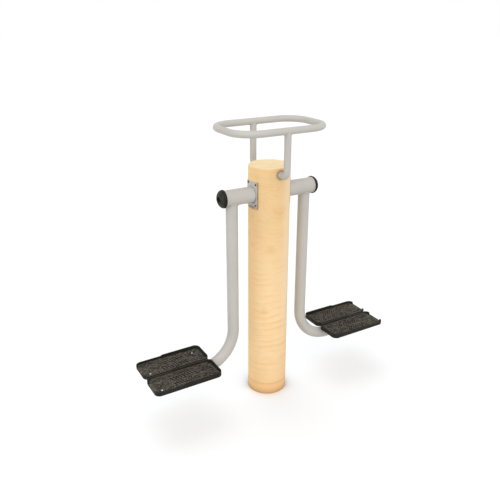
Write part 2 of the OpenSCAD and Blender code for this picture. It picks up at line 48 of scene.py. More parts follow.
# Places and sizes that materials and pieces share
PIVOT_Z = 1.080
SLEEVE_R = 0.038
BAR_R = 0.016
POST_R = 0.100

# Level directions: from the post towards the photograph's viewpoint, and to its left
FRONT = (-0.502, -0.865, 0.0)
LEFTWARD = (-0.865, 0.502, 0.0)

WHITE = (1.0, 1.0, 1.0, 1.0)
BLACK = (0.0, 0.0, 0.0, 1.0)


# ---------------------------------------------------------------- helpers for materials

class Graph:
    """Adds nodes to a node tree and links them by value: a socket is linked, anything else is set."""

    def __init__(self, tree):
        self.tree = tree

    def feed(self, socket, value):
        if isinstance(value, bpy.types.NodeSocket):
            self.tree.links.new(value, socket)
        else:
            socket.default_value = value

    def node(self, kind, inputs=None, **settings):
        made = self.tree.nodes.new("ShaderNode" + kind)
        for name, value in settings.items():
            setattr(made, name, value)
        for name, value in (inputs or {}).items():
            self.feed(made.inputs[name], value)
        return made

    # Numbers

    def maths(self, operation, *values, clamp=False):
        made = self.node("Math", operation=operation, use_clamp=clamp)
        for socket, value in zip(made.inputs, values):
            self.feed(socket, value)
        return made.outputs[0]

    def add(self, first, second):
        return self.maths("ADD", first, second)

    def minus(self, first, second):
        return self.maths("SUBTRACT", first, second)

    def times(self, first, *others):
        for other in others:
            first = self.maths("MULTIPLY", first, other)
        return first

    def larger(self, first, second):
        return self.maths("MAXIMUM", first, second)

    def size(self, value):
        return self.maths("ABSOLUTE", value)

    def spread(self, value, low, high, start=0.0, end=1.0):
        """Start to end becomes low to high."""
        return self.node("MapRange", {"Value": value, "From Min": start, "From Max": end,
                                      "To Min": low, "To Max": high}).outputs[0]

    # Masks, which run from 0 to 1

    def inverse(self, mask):
        return self.minus(1.0, mask)

    def step(self, value, low, high):
        """0 below low, 1 above high, smooth between."""
        return self.node("MapRange", {"Value": value, "From Min": low, "From Max": high},
                         interpolation_type="SMOOTHSTEP").outputs[0]

    def below(self, value, low, high):
        """1 below low, 0 above high, smooth between."""
        return self.inverse(self.step(value, low, high))

    def closeness(self, place, centre, reach):
        """1 at the centre, fading like a bell to 0 at about twice the reach."""
        ratio = self.times(self.distance(place, centre), 1.0 / reach)
        return self.maths("EXPONENT", self.times(ratio, ratio, -1.0))

    def noise(self, place, scale, detail=2.0, roughness=0.5):
        """A scale of three numbers stretches the noise along the axes."""
        if isinstance(scale, tuple):
            place, scale = self.stretch(place, scale), 1.0
        return self.node("TexNoise", {"Vector": place, "Scale": scale, "Detail": detail,
                                      "Roughness": roughness}).outputs[0]

    def patches(self, place, scale, low, high, detail=2.0, roughness=0.5):
        """Loose patches: where the noise is above high, fading out down to low."""
        return self.step(self.noise(place, scale, detail, roughness), low, high)

    # Vectors

    def vector(self, operation, *values):
        return self.node("VectorMath", dict(enumerate(values)), operation=operation).outputs

    def stretch(self, place, factors):
        return self.vector("MULTIPLY", place, factors)["Vector"]

    def part(self, vector, axis):
        return self.node("SeparateXYZ", {"Vector": vector}).outputs[axis]

    def length(self, vector):
        return self.vector("LENGTH", vector)["Value"]

    def distance(self, place, centre):
        return self.vector("DISTANCE", place, centre)["Value"]

    def along(self, place, direction):
        return self.vector("DOT_PRODUCT", place, direction)["Value"]

    # Colours

    def mix(self, share, first, second, blend="MIX"):
        made = self.node("Mix", data_type="RGBA", blend_type=blend)
        for index, value in ((0, share), (6, first), (7, second)):
            self.feed(made.inputs[index], value)
        return made.outputs[2]

    def glaze(self, colour, tint, amount, *masks):
        """Lays the tint over the colour, by the amount, where every mask is 1."""
        return self.mix(self.times(*masks, amount), colour, tint)

    def group(self, tree, **inputs):
        made = self.node("Group", node_tree=tree)
        for name, value in inputs.items():
            self.feed(made.inputs[name.replace("_", " ")], value)
        return made.outputs


def new_group(name, inputs, outputs):
    """A shader node group with named sockets. Returns its graph, its input sockets and its output sockets."""
    tree = bpy.data.node_groups.new(name, "ShaderNodeTree")
    for label, kind, value in inputs:
        socket = tree.interface.new_socket(label, in_out="INPUT", socket_type="NodeSocket" + kind)
        socket.default_value = value
    for label, kind in outputs:
        tree.interface.new_socket(label, in_out="OUTPUT", socket_type="NodeSocket" + kind)
    start = tree.nodes.new("NodeGroupInput")
    end = tree.nodes.new("NodeGroupOutput")
    return Graph(tree), start.outputs, end.inputs


def surface_place(graph):
    """Where a point is on the object, in metres, and which way it faces."""
    found = graph.node("TexCoord").outputs
    return found["Object"], found["Normal"]


# ---------------------------------------------------------------- effects that materials share

def make_tone_drift():
    """A slow, slight change of tone over a surface."""
    graph, given, out = new_group(
        "tone_drift",
        [("Color", "Color", (0.5, 0.5, 0.5, 1.0)), ("Amount", "Float", 0.1), ("Scale", "Float", 10.0)],
        [("Color", "Color")])
    place, _ = surface_place(graph)
    cloud = graph.patches(place, given["Scale"], 0.3, 0.7, detail=3.0)
    factor = graph.spread(cloud, graph.inverse(given["Amount"]), 1.0)
    graph.feed(out["Color"], graph.mix(1.0, given["Color"], factor, "MULTIPLY"))
    return graph.tree


def make_fine_grain():
    """The small bumps of a coating or a moulded skin, as a height."""
    coarser = 0.2
    graph, given, out = new_group(
        "fine_grain", [("Scale", "Float", 600.0), ("Coarse Share", "Float", 0.3)], [("Height", "Float")])
    place, _ = surface_place(graph)
    fine = graph.noise(place, given["Scale"], 1.0)
    coarse = graph.noise(place, graph.times(given["Scale"], coarser), 1.0)
    graph.feed(out["Height"], graph.add(fine, graph.times(coarse, given["Coarse Share"])))
    return graph.tree


def make_roughness_drift():
    """Roughness that changes slightly where hands, shoes and weather have been."""
    graph, given, out = new_group(
        "roughness_drift",
        [("Roughness", "Float", 0.5), ("Amount", "Float", 0.1), ("Scale", "Float", 20.0)],
        [("Roughness", "Float")])
    place, _ = surface_place(graph)
    cloud = graph.minus(graph.noise(place, given["Scale"], 4.0, 0.6), 0.5)
    drift = graph.times(cloud, graph.times(given["Amount"], 2.0))
    graph.feed(out["Roughness"], graph.maths("ADD", given["Roughness"], drift, clamp=True))
    return graph.tree


def make_settled_dust():
    """Pale dust that lies on what faces up, in loose patches."""
    graph, given, out = new_group(
        "settled_dust",
        [("Color", "Color", (0.5, 0.5, 0.5, 1.0)), ("Dust", "Color", (0.3, 0.28, 0.25, 1.0)),
         ("Amount", "Float", 0.3), ("Scale", "Float", 60.0)],
        [("Color", "Color")])
    place, facing = surface_place(graph)
    upward = graph.step(graph.part(facing, "Z"), 0.5, 0.95)
    loose = graph.patches(place, given["Scale"], 0.35, 0.7, 5.0, 0.65)
    graph.feed(out["Color"], graph.glaze(given["Color"], given["Dust"], given["Amount"], upward, loose))
    return graph.tree


def make_gathered_shade():
    """Where painted shade gathers round a round part: 1 up to its edge, fading to 0 within the reach.
    Across is 0 along the part's axis and 1 across it."""
    graph, given, out = new_group(
        "gathered_shade",
        [("Centre", "Vector", (0.0, 0.0, 0.0)), ("Across", "Vector", (1.0, 1.0, 1.0)),
         ("Edge", "Float", 0.02), ("Reach", "Float", 0.01)],
        [("Mask", "Float")])
    place, _ = surface_place(graph)
    offset = graph.vector("SUBTRACT", place, given["Centre"])["Vector"]
    away = graph.length(graph.stretch(offset, given["Across"]))
    graph.feed(out["Mask"], graph.below(away, given["Edge"], graph.add(given["Edge"], given["Reach"])))
    return graph.tree


tone_drift = make_tone_drift()
fine_grain = make_fine_grain()
roughness_drift = make_roughness_drift()
settled_dust = make_settled_dust()
gathered_shade = make_gathered_shade()


def drifting_tone(graph, colour, amount, scale):
    return graph.group(tone_drift, Color=colour, Amount=amount, Scale=scale)["Color"]


def drifting_roughness(graph, middle, amount, scale):
    return graph.group(roughness_drift, Roughness=middle, Amount=amount, Scale=scale)["Roughness"]


def dusted(graph, colour, dust, amount, scale):
    return graph.group(settled_dust, Color=colour, Dust=dust, Amount=amount, Scale=scale)["Color"]


def shade_round(graph, centre, across, edge, reach):
    return graph.group(gathered_shade, Centre=centre, Across=across, Edge=edge, Reach=reach)["Mask"]


def shade_round_pivot(graph, edge, reach):
    return shade_round(graph, (0.0, 0.0, PIVOT_Z), (0.0, 1.0, 1.0), edge, reach)


def bump(graph, height, distance, strength=1.0):
    return graph.node("Bump", {"Height": height, "Distance": distance, "Strength": strength}).outputs[0]


def grain_bump(graph, scale, distance, strength):
    return bump(graph, graph.group(fine_grain, Scale=scale)["Height"], distance, strength)


# ---------------------------------------------------------------- materials

def new_material(name):
    material = bpy.data.materials.new(name)
    material.use_nodes = True
    graph = Graph(material.node_tree)
    shader = next(n for n in material.node_tree.nodes if n.type == "BSDF_PRINCIPLED")
    return material, graph, shader.inputs


def saw_lines(graph, value, pitch, rise, fall):
    """Lines a pitch apart: each grows from rise to fall and is gone at 1, as shares of the pitch."""
    turn = graph.maths("FRACT", graph.times(value, 1.0 / pitch))
    return graph.times(graph.step(turn, rise, fall), graph.below(turn, fall, 1.0))


def timber_growth(graph, place, height):
    """The height that the growth lines follow, bent round the knots, and how dark the knots are."""
    # Each knot's centre, reach, lift of the lines over it and darkness of its core
    knots = (
        ((-0.099, -0.010, 0.977), 0.030, 0.030, 0.55),
        ((-0.002, -0.100, 1.000), 0.075, 0.085, 0.20),
        ((-0.099, -0.010, 0.830), 0.026, 0.022, 0.50),
        ((-0.042, -0.091, 0.822), 0.050, -0.040, 0.32),
        ((-0.067, -0.074, 0.492), 0.030, 0.013, 0.30),
        ((-0.014, -0.099, 1.114), 0.009, 0.006, 0.60),
        ((0.098, -0.020, 0.640), 0.030, 0.030, 0.45),
        ((0.060, 0.080, 0.880), 0.040, -0.038, 0.40),
        ((-0.050, 0.086, 0.380), 0.032, 0.030, 0.45),
    )
    slow_sway, quick_sway, core_share = 0.10, 0.010, 0.45
    slow = graph.noise(place, (3.2, 3.2, 2.4), 1.0)
    waver = graph.noise(place, (14.0, 14.0, 30.0), 2.0)
    growth = graph.add(height, graph.times(slow, slow_sway))
    growth = graph.add(growth, graph.times(waver, quick_sway))
    knot_tint = 0.0
    for centre, reach, lift, dark in knots:
        growth = graph.add(growth, graph.times(graph.closeness(place, centre, reach), lift))
        core = graph.closeness(place, centre, reach * core_share)
        knot_tint = graph.add(knot_tint, graph.times(core, dark))
    return growth, knot_tint


def timber_side(graph, place, height, grain):
    """The turned side: painted light on its left flank and a painted pale sheen on its right flank, as the
    camera sees them, and at the ground an orange band with a line along its top and painted contact shade at
    its foot."""
    pale = (0.925, 0.660, 0.370, 1.0)
    upper = (0.805, 0.552, 0.276, 1.0)
    lowest = (0.860, 0.575, 0.275, 1.0)
    honey = (0.940, 0.620, 0.290, 1.0)
    amber = (0.700, 0.400, 0.150, 1.0)
    painted_flank_light = (1.000, 0.690, 0.310, 1.0)
    painted_flank_sheen = (0.920, 0.710, 0.460, 1.0)
    ground_tint = (0.860, 0.500, 0.215, 1.0)
    line_brown = (0.420, 0.210, 0.075, 1.0)
    brown = (0.330, 0.190, 0.090, 1.0)
    flank_from, flank_to = 0.050, 0.100
    line_z, line_core, line_half_w = 0.0625, 0.001, 0.0075
    # Heights between which a tint comes in or fades out
    upper_z, flank_sheen_z = (0.45, 1.15), (0.25, 0.50)
    lowest_z, glow_z, band_z = (0.06, 0.42), (0.050, 0.125), (line_z - 0.006, line_z + 0.002)
    foot_shade_z, foot_edge_shade_z = (0.000, 0.044), (0.001, 0.014)

    side = graph.mix(graph.step(height, *upper_z), pale, upper)
    side = graph.glaze(side, lowest, 0.45, graph.below(height, *lowest_z))
    side = graph.glaze(side, honey, 0.40, graph.patches(place, (7.0, 7.0, 13.0), 0.45, 0.75))
    side = graph.mix(graph.larger(grain, 0.0), side, amber)
    side = graph.glaze(side, ground_tint, 0.40, graph.below(height, *glow_z))

    # Painted light: the flank the camera sees at the left is tinted brighter and warmer, and the right flank
    # above the ground is tinted paler, as a painted sheen.
    leftward = graph.along(place, LEFTWARD)
    rightward = graph.below(leftward, -flank_to, -flank_from)
    side = graph.glaze(side, painted_flank_light, 0.80, graph.step(leftward, flank_from, flank_to))
    side = graph.glaze(side, painted_flank_sheen, 0.80, rightward, graph.step(height, *flank_sheen_z))

    from_line = graph.size(graph.minus(height, line_z))
    side = graph.glaze(side, ground_tint, 0.50, graph.below(height, *band_z))
    side = graph.glaze(side, line_brown, 0.22, graph.below(from_line, line_core, line_half_w))
    # Painted contact shade: the wood darkens towards the ground, most in the lowest 14 mm.
    side = graph.glaze(side, brown, 0.36, graph.below(height, *foot_shade_z))
    return graph.glaze(side, brown, 0.40, graph.below(height, *foot_edge_shade_z))


def timber_end(graph, place):
    """The sawn top, with uneven rings."""
    end_pale = (1.000, 0.800, 0.490, 1.0)
    end_honey = (0.980, 0.690, 0.370, 1.0)
    ring_pitch, ring_sway, ring_depth, cloud_depth = 0.0085, 0.030, 0.22, 0.42
    radius = graph.length(graph.stretch(place, (1.0, 1.0, 0.0)))
    radius = graph.add(radius, graph.times(graph.noise(place, 9.0), ring_sway))
    ring = saw_lines(graph, radius, ring_pitch, 0.3, 0.9)
    cloud = graph.patches(place, 24.0, 0.42, 0.66, detail=3.0)
    depth = graph.add(graph.times(ring, ring_depth), graph.times(cloud, cloud_depth))
    return graph.mix(depth, end_pale, end_honey)


def make_timber():
    """Pale softwood: fine level growth lines with a few knots, and end grain on top. Painted shade darkens
    the wood round the feet of the handle bars, and a painted shadow lies under the flange plates."""
    shade = (0.260, 0.170, 0.100, 1.0)
    strong_pitch, fine_pitch = 0.034, 0.0112
    strong_depth, fine_depth, fibre_depth, mottle_depth = 0.24, 0.22, 0.20, 0.34
    bar_foot_z, bar_shade_w = 1.182, 0.014
    plate_low_z, plate_shade_z, plate_shade_y = 1.0205, (0.003, 0.012), (0.044, 0.050)
    material, graph, shader = new_material("timber")
    place, facing = surface_place(graph)
    height = graph.part(place, "Z")

    growth, knot_tint = timber_growth(graph, place, height)
    strong = graph.times(saw_lines(graph, growth, strong_pitch, 0.20, 0.90),
                         graph.patches(place, (5.0, 5.0, 12.0), 0.36, 0.66))
    fine = graph.times(saw_lines(graph, growth, fine_pitch, 0.15, 0.75),
                       graph.patches(place, (8.0, 8.0, 17.0), 0.34, 0.70))
    fibre = graph.noise(place, (45.0, 45.0, 900.0))
    mottle = graph.noise(place, (26.0, 26.0, 60.0), 3.0)
    grain = graph.add(graph.times(strong, strong_depth), graph.times(fine, fine_depth))
    grain = graph.add(grain, graph.times(graph.minus(fibre, 0.5), fibre_depth))
    grain = graph.add(grain, graph.times(graph.minus(mottle, 0.5), mottle_depth))
    grain = graph.add(grain, knot_tint)

    on_end = graph.step(graph.size(graph.part(facing, "Z")), 0.55, 0.9)
    colour = graph.mix(on_end, timber_side(graph, place, height, grain), timber_end(graph, place))
    # Painted shade round where the handle bars enter the post.
    at_bars = shade_round(graph, (0.0, 0.0, bar_foot_z), (1.0, 0.0, 1.0), BAR_R, bar_shade_w)
    colour = graph.glaze(colour, shade, 0.78, at_bars)
    # Painted shadow on the wood just below the flange plates.
    under = graph.minus(plate_low_z, height)
    off_middle = graph.size(graph.part(place, "Y"))
    colour = graph.glaze(colour, shade, 0.55, graph.step(under, -0.001, 0.0),
                         graph.below(under, *plate_shade_z), graph.below(off_middle, *plate_shade_y))

    graph.feed(shader["Base Color"], colour)
    graph.feed(shader["Roughness"], graph.add(drifting_roughness(graph, 0.56, 0.10, 30.0),
                                              graph.times(strong, 0.08)))
    relief = graph.add(graph.times(graph.add(strong, fine), -0.5), graph.times(fibre, 0.35))
    graph.feed(shader["Normal"], bump(graph, relief, 0.0004, 0.5))
    shader["Specular IOR Level"].default_value = 0.30
    return material


def make_coated_steel():
    """Light warm grey powder coat with a faint orange peel. Painted shade darkens the plates' sides where
    they sit in the post, and the plates round the sleeves' inner ends, most below them."""
    coat = (0.524, 0.499, 0.457, 1.0)
    pale_dust = (0.62, 0.60, 0.55, 1.0)
    pivot_grey = (0.560, 0.548, 0.530, 1.0)
    painted_sleeve_shade = (0.200, 0.180, 0.145, 1.0)
    painted_seat_shade = (0.300, 0.240, 0.140, 1.0)
    seat_in_x, seat_out_x, plate_face_x, edge_w = 0.0855, 0.0932, 0.0960, 0.0004
    pivot_grey_x, pivot_grey_z, seat_z = (0.100, 0.190), (0.060, 0.080), (0.080, 0.090)
    sleeve_low_z, sleeve_high_z, sleeve_shade_w = PIVOT_Z - 0.034, PIVOT_Z + 0.010, 0.010
    material, graph, shader = new_material("coated_steel")
    place, _ = surface_place(graph)
    out = graph.size(graph.part(place, "X"))
    height = graph.part(place, "Z")
    from_pivot = graph.size(graph.minus(height, PIVOT_Z))

    colour = drifting_tone(graph, coat, 0.05, 7.0)
    colour = dusted(graph, colour, pale_dust, 0.20, 90.0)
    # A paler, more neutral grey on the plates and sleeves near the pivot.
    colour = graph.glaze(colour, pivot_grey, 0.60, graph.below(out, *pivot_grey_x),
                         graph.below(from_pivot, *pivot_grey_z))
    # Painted shade, warm brown, on the plates' sides beside the wood.
    colour = graph.glaze(colour, painted_seat_shade, 0.75, graph.step(out, seat_in_x - 0.0005, seat_in_x),
                         graph.below(out, seat_out_x, seat_out_x + edge_w),
                         graph.below(from_pivot, *seat_z))
    # Painted shade on the plate round the sleeve's inner end, darker below the pivot.
    downward = graph.below(height, sleeve_low_z, sleeve_high_z)
    colour = graph.glaze(colour, painted_sleeve_shade, graph.spread(downward, 0.25, 0.80),
                         shade_round_pivot(graph, SLEEVE_R, sleeve_shade_w),
                         graph.below(out, plate_face_x, plate_face_x + edge_w))

    graph.feed(shader["Base Color"], colour)
    graph.feed(shader["Roughness"], drifting_roughness(graph, 0.40, 0.07, 24.0))
    graph.feed(shader["Normal"], grain_bump(graph, 520.0, 0.00012, 0.5))
    shader["Specular IOR Level"].default_value = 0.28
    return material


def make_bright_steel():
    """Machined and plated steel with fine turning marks."""
    fresh, dull = (0.66, 0.66, 0.67, 1.0), (0.48, 0.47, 0.46, 1.0)
    material, graph, shader = new_material("bright_steel")
    place, _ = surface_place(graph)
    marks = graph.noise(place, (1500.0, 60.0, 60.0))
    colour = graph.glaze(fresh, dull, 0.3, marks)
    graph.feed(shader["Base Color"], drifting_tone(graph, colour, 0.10, 60.0))
    shader["Metallic"].default_value = 1.0
    graph.feed(shader["Roughness"], drifting_roughness(graph, 0.28, 0.10, 90.0))
    graph.feed(shader["Normal"], bump(graph, marks, 0.00005, 0.5))
    return material


def make_black_steel():
    """Screws with a black finish that has gone brown and grey in places, and a few heads rubbed bright."""
    black, brown, bare = (0.028, 0.027, 0.026, 1.0), (0.10, 0.085, 0.07, 1.0), (0.86, 0.86, 0.85, 1.0)
    bright_heads = ((-0.388, 0.105, 0.2553), (-0.639, 0.035, 0.2553), (-0.639, -0.115, 0.2553))
    rubbed_r, rubbed_end_r = 0.0034, 0.0052
    material, graph, shader = new_material("black_steel")
    place, _ = surface_place(graph)
    colour = graph.glaze(black, brown, 0.5, graph.patches(place, 240.0, 0.5, 0.75, detail=3.0))
    rubbed = 0.0
    for head in bright_heads:
        rubbed = graph.larger(rubbed, graph.below(graph.distance(place, head), rubbed_r, rubbed_end_r))
    graph.feed(shader["Base Color"], graph.mix(rubbed, colour, bare))
    graph.feed(shader["Metallic"], graph.spread(rubbed, 0.6, 1.0))
    graph.feed(shader["Roughness"], graph.minus(drifting_roughness(graph, 0.42, 0.12, 200.0),
                                                graph.times(rubbed, 0.22)))
    graph.feed(shader["Normal"], grain_bump(graph, 900.0, 0.00005, 0.4))
    return material


def make_black_plastic():
    """Dull black moulding of the caps and plugs, warm where it has faded, with painted shade in the caps'
    centre hollows and near-black rims, partly their own black and partly painted shade."""
    faded, dust, painted_shade_black = (0.037, 0.034, 0.026, 1.0), (0.11, 0.10, 0.085, 1.0), (0.002, 0.002, 0.0015, 1.0)
    centre_r, centre_fade, rim_r, rim_fade = 0.0125, 0.003, 0.0365, 0.004
    plugs_end_z, caps_begin_z = 0.9, 1.0
    material, graph, shader = new_material("black_plastic")
    place, _ = surface_place(graph)
    colour = drifting_tone(graph, faded, 0.25, 50.0)
    colour = dusted(graph, colour, dust, 0.35, 120.0)
    # Painted shade: the caps' centre hollows and their rims are made near black.
    centre = shade_round_pivot(graph, centre_r, centre_fade)
    rim = graph.times(graph.inverse(shade_round_pivot(graph, rim_r, rim_fade)),
                      graph.step(graph.part(place, "Z"), plugs_end_z, caps_begin_z))
    dark = graph.larger(graph.times(centre, 0.92), graph.times(rim, 0.55))
    graph.feed(shader["Base Color"], graph.mix(dark, colour, painted_shade_black))
    graph.feed(shader["Roughness"], graph.larger(drifting_roughness(graph, 0.40, 0.10, 60.0),
                                                 graph.times(centre, 0.95)))
    graph.feed(shader["Normal"], grain_bump(graph, 800.0, 0.00005, 0.5))
    shader["Specular IOR Level"].default_value = 0.10
    return material


def slot_masks(graph, place, on_floor):
    """Three masks for the rows of short leaning slots: 1 in a slot, 1 on the ridge between two slots,
    and 1 in the rear half of a tray."""
    tray_y, band_y, band_edge = 0.07475, 0.024, (0.0098, 0.0125)
    first_slot_x, slot_pitch, slot_lean, slots_l = 0.445, 0.015, 0.5, 0.124
    slot_edge, ridge_edge = (0.0036, 0.0048), (0.0045, 0.0056)
    y = graph.part(place, "Y")
    off_middle = graph.minus(y, graph.times(graph.maths("SIGN", y), tray_y))
    off_band = graph.minus(off_middle, graph.times(graph.maths("SIGN", off_middle), band_y))
    along = graph.minus(graph.size(graph.part(place, "X")), first_slot_x)
    along = graph.minus(along, graph.times(off_band, slot_lean))
    turn = graph.maths("FRACT", graph.add(graph.times(along, 1.0 / slot_pitch), 0.5))
    from_slot = graph.times(graph.size(graph.minus(turn, 0.5)), slot_pitch)
    in_row = graph.times(graph.step(along, -0.006, -0.004), graph.below(along, slots_l, slots_l + 0.002),
                         graph.below(graph.size(off_band), *band_edge))
    slot = graph.times(in_row, graph.below(from_slot, *slot_edge), on_floor)
    ridge = graph.times(in_row, graph.step(from_slot, *ridge_edge), on_floor)
    return slot, ridge, graph.step(off_middle, -0.002, 0.002)


def rim_dust(graph, place, height, upward):
    """Dust on the rims beside the gap between two trays: on their tops, and low on their inner walls."""
    rim_in_y, dust_z = 0.0100, 0.2580
    y = graph.part(place, "Y")
    from_gap = graph.size(y)
    near_gap = graph.below(from_gap, rim_in_y + 0.0008, rim_in_y + 0.0012)
    top = graph.times(near_gap, upward, graph.spread(graph.step(y, 0.0, 0.001), 0.20, 0.50))
    wall = graph.times(near_gap, graph.step(from_gap, rim_in_y - 0.0008, rim_in_y - 0.0003),
                       graph.below(height, dust_z - 0.003, dust_z + 0.002))
    return graph.larger(top, wall)


def make_tray_plastic():
    """Black moulding whose trodden floor is brown-grey with dust, while grooves and rims stay dark,
    and painted shade deepens the slots.
    """
    black = (0.0200, 0.0175, 0.0135, 1.0)
    trodden = (0.072, 0.064, 0.051, 1.0)
    earth = (0.155, 0.136, 0.109, 1.0)
    scuff_and_slot_shade = (0.012, 0.010, 0.008, 1.0)
    grit = (0.24, 0.215, 0.18, 1.0)
    floor_z, rim_foot_z, soft = 0.2520, 0.2536, 0.0004
    material, graph, shader = new_material("tray_plastic")
    place, facing = surface_place(graph)
    height = graph.part(place, "Z")
    upward = graph.step(graph.part(facing, "Z"), 0.4, 0.9)
    on_floor = graph.times(graph.step(height, floor_z - 3 * soft, floor_z - soft),
                           graph.below(height, rim_foot_z, rim_foot_z + soft))
    patches = graph.patches(place, 42.0, 0.28, 0.66, 5.0, 0.7)
    worn = graph.times(on_floor, upward, graph.spread(patches, 0.60, 1.0))
    dusty = graph.mix(graph.patches(place, 95.0, 0.44, 0.66, 4.0, 0.65), trodden, earth)

    colour = graph.mix(worn, drifting_tone(graph, black, 0.30, 28.0), dusty)
    scuffs = graph.patches(place, (70.0, 190.0, 60.0), 0.50, 0.60, 3.0, 0.6)
    colour = graph.glaze(colour, scuff_and_slot_shade, 0.70, scuffs, worn)
    grit_share = graph.spread(worn, 0.05, 0.36)
    colour = graph.glaze(colour, grit, grit_share, graph.patches(place, 260.0, 0.56, 0.68))

    slot, ridge, rear_row = slot_masks(graph, place, on_floor)
    # Painted shade in and round the slots, deeper in the rear row of each tray.
    colour = graph.glaze(colour, scuff_and_slot_shade, graph.spread(rear_row, 0.60, 0.97), slot)
    colour = graph.glaze(colour, earth, 0.60, ridge)
    stains = graph.noise(place, (58.0, 105.0, 30.0))
    colour = graph.glaze(colour, black, 0.85, graph.step(stains, 0.52, 0.60), worn)
    colour = graph.glaze(colour, earth, 0.45, graph.below(stains, 0.38, 0.47), worn)
    colour = graph.mix(rim_dust(graph, place, height, upward), colour, dusty)

    graph.feed(shader["Base Color"], colour)
    graph.feed(shader["Roughness"], graph.add(drifting_roughness(graph, 0.52, 0.10, 50.0),
                                              graph.times(worn, 0.22)))
    graph.feed(shader["Normal"], grain_bump(graph, 380.0, 0.00025, 0.7))
    shader["Specular IOR Level"].default_value = 0.12
    return material


def make_rubber():
    """Matt black rubber of the seals and stop pads."""
    material, graph, shader = new_material("rubber")
    graph.feed(shader["Base Color"], drifting_tone(graph, (0.030, 0.030, 0.029, 1.0), 0.3, 80.0))
    graph.feed(shader["Roughness"], drifting_roughness(graph, 0.78, 0.08, 100.0))
    graph.feed(shader["Normal"], grain_bump(graph, 600.0, 0.0001, 0.6))
    return material


finishes = {
    "timber": make_timber(),
    "coated_steel": make_coated_steel(),
    "bright_steel": make_bright_steel(),
    "black_steel": make_black_steel(),
    "black_plastic": make_black_plastic(),
    "tray_plastic": make_tray_plastic(),
    "rubber": make_rubber(),
}


def dress_cad_nodes():
    for part in frame["record"]["subparts"]:
        for held in nodes[part["node"]].material_slots:
            held.material = finishes[part["material_slot"]]


# ---------------------------------------------------------------- pieces

def add_piece(name, shape, body, slot):
    """Turns a bmesh into a smooth piece that rides on a body and takes the finish of a slot."""
    bmesh.ops.recalc_face_normals(shape, faces=shape.faces[:])
    mesh = bpy.data.meshes.new(name)
    shape.to_mesh(mesh)
    shape.free()
    mesh.materials.append(finishes[slot])
    for face in mesh.polygons:
        face.use_smooth = True
    piece = bpy.data.objects.new(name, mesh)
    bpy.context.scene.collection.objects.link(piece)
    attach(piece, body)
    return piece


def sweep_closed(shape, centres, firsts, seconds, radii, around=10):
    """A closed tube along points: firsts and seconds span each cross section."""
    rings = []
    for centre, first, second, radius in zip(centres, firsts, seconds, radii):
        ring = []
        for k in range(around):
            turn = 2 * math.pi * k / around
            spoke = math.cos(turn) * first + math.sin(turn) * second
            ring.append(shape.verts.new(centre + radius * spoke))
        rings.append(ring)
    for here, there in zip(rings, rings[1:] + rings[:1]):
        for k in range(around):
            j = (k + 1) % around
            shape.faces.new((here[k], here[j], there[j], there[k]))


def saddle_weld(shape, foot, small_r, large_r, bead_r, ripples, steps_per_ripple=6):
    """The rippled bead where an upright tube meets a level tube along X from below.
    On tubes of the same size the bead runs out where their sides are flush."""
    lift_share, sink_share = 0.25, 0.15
    trough, ripple = 0.86, 0.14
    thin, swell = 0.08, 0.92
    centres, firsts, seconds, radii = [], [], [], []
    count = ripples * steps_per_ripple
    flush = small_r == large_r
    for k in range(count):
        turn = 2 * math.pi * k / count
        out = Vector((math.cos(turn), math.sin(turn), 0.0))
        y = small_r * out.y
        drop = math.sqrt(max(large_r ** 2 - y ** 2, 0.0))
        large_out = Vector((0.0, y, -drop)) / large_r
        full = 1.0 - abs(out.y) ** 3 if flush else 1.0
        sunk = sink_share * bead_r * (1.0 - full)
        lift = lift_share * bead_r * full - sunk
        centres.append(foot + Vector((small_r * out.x, y, -drop)) + lift * (out + large_out))
        firsts.append(out)
        wave = abs(math.sin(math.pi * k / steps_per_ripple))
        radii.append(bead_r * (trough + ripple * wave) * (thin + swell * full))
    for k in range(count):
        along = (centres[(k + 1) % count] - centres[k - 1]).normalized()
        firsts[k] = (firsts[k] - along * firsts[k].dot(along)).normalized()
        seconds.append(along.cross(firsts[k]))
    sweep_closed(shape, centres, firsts, seconds, radii)


def add_arm_welds():
    arm_r, arm_x, bead_r, ripples = 0.0285, 0.202, 0.0034, 30
    for side, sign in SIDES.items():
        shape = bmesh.new()
        saddle_weld(shape, Vector((sign * arm_x, 0.0, PIVOT_Z)), arm_r, SLEEVE_R, bead_r, ripples)
        add_piece(side + "_arm_weld", shape, side + "_pendulum", "coated_steel")


def add_loop_welds():
    bar_y, loop_z, bead_r, ripples = 0.1495, 1.389, 0.0026, 20
    for row, sign in ROWS.items():
        shape = bmesh.new()
        saddle_weld(shape, Vector((0.0, sign * bar_y, loop_z)), BAR_R, BAR_R, bead_r, ripples)
        add_piece(row + "_bar_weld", shape, "post_frame", "coated_steel")


# ---------------------------------------------------------------- pieces with rounded edges

def moulded_copy(node, edge):
    """The CAD solid as clean faces with moulded edges: merged, its flat faces joined, its corners rounded."""
    same_place, flat, sharp = 1e-5, math.radians(0.5), math.radians(28)
    shape = bmesh.new()
    shape.from_mesh(nodes[node].data)
    bmesh.ops.remove_doubles(shape, verts=shape.verts[:], dist=same_place)
    bmesh.ops.dissolve_limit(shape, angle_limit=flat, verts=shape.verts[:], edges=shape.edges[:])
    corners = [e for e in shape.edges if len(e.link_faces) == 2 and e.calc_face_angle(0.0) > sharp]
    bmesh.ops.bevel(shape, geom=corners, offset=edge, offset_type="OFFSET", segments=2, profile=0.6,
                    affect="EDGES", clamp_overlap=True)
    bmesh.ops.triangulate(shape, faces=[f for f in shape.faces if len(f.verts) > 4])
    return shape


def body_of(node):
    return next(body for body, held in frame["record"]["behaviour"]["bodies"].items() if node in held)


